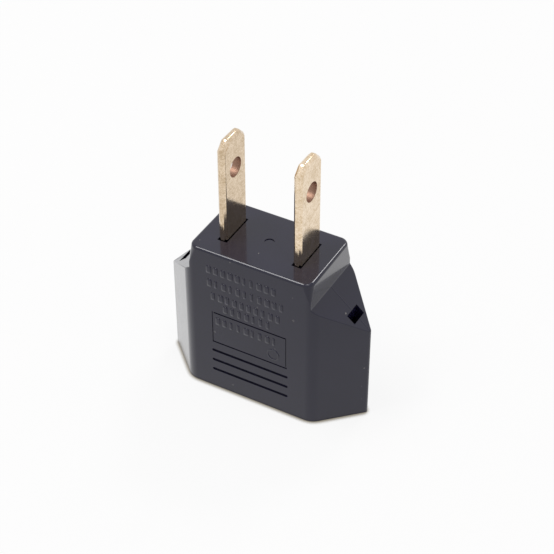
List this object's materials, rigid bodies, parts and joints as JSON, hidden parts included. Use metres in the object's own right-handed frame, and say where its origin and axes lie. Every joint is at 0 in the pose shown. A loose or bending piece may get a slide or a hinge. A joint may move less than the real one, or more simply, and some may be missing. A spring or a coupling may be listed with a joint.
{
  "type": "travel plug adapter",
  "caption": "Compact travel plug adapter: a black moulded body takes round pins in its socket face and carries flat brass blades on the opposite face.",
  "frame": {"origin": "centre of the socket face, on which the adapter stands", "axes": "+Z from the socket face to the blades, +X along the body from one pointed end to the other, -Y towards the grooved front face"},
  "size_m": [0.0348, 0.013, 0.0451],
  "materials": {
    "housing_plastic": "moulded, glossy, black",
    "cover_plastic": "moulded, satin, black",
    "blade_brass": "stamped, satin",
    "spring_brass": "rolled strip, bright",
    "rivet_brass": "headed, bright"
  },
  "bodies": {
    "root": {"housing": "housing_plastic", "socket_cover": "cover_plastic", "blade_left": "blade_brass", "blade_right": "blade_brass", "contact_left": "spring_brass", "contact_right": "spring_brass", "rivet_left": "rivet_brass", "rivet_right": "rivet_brass"}
  },
  "joints": []
}
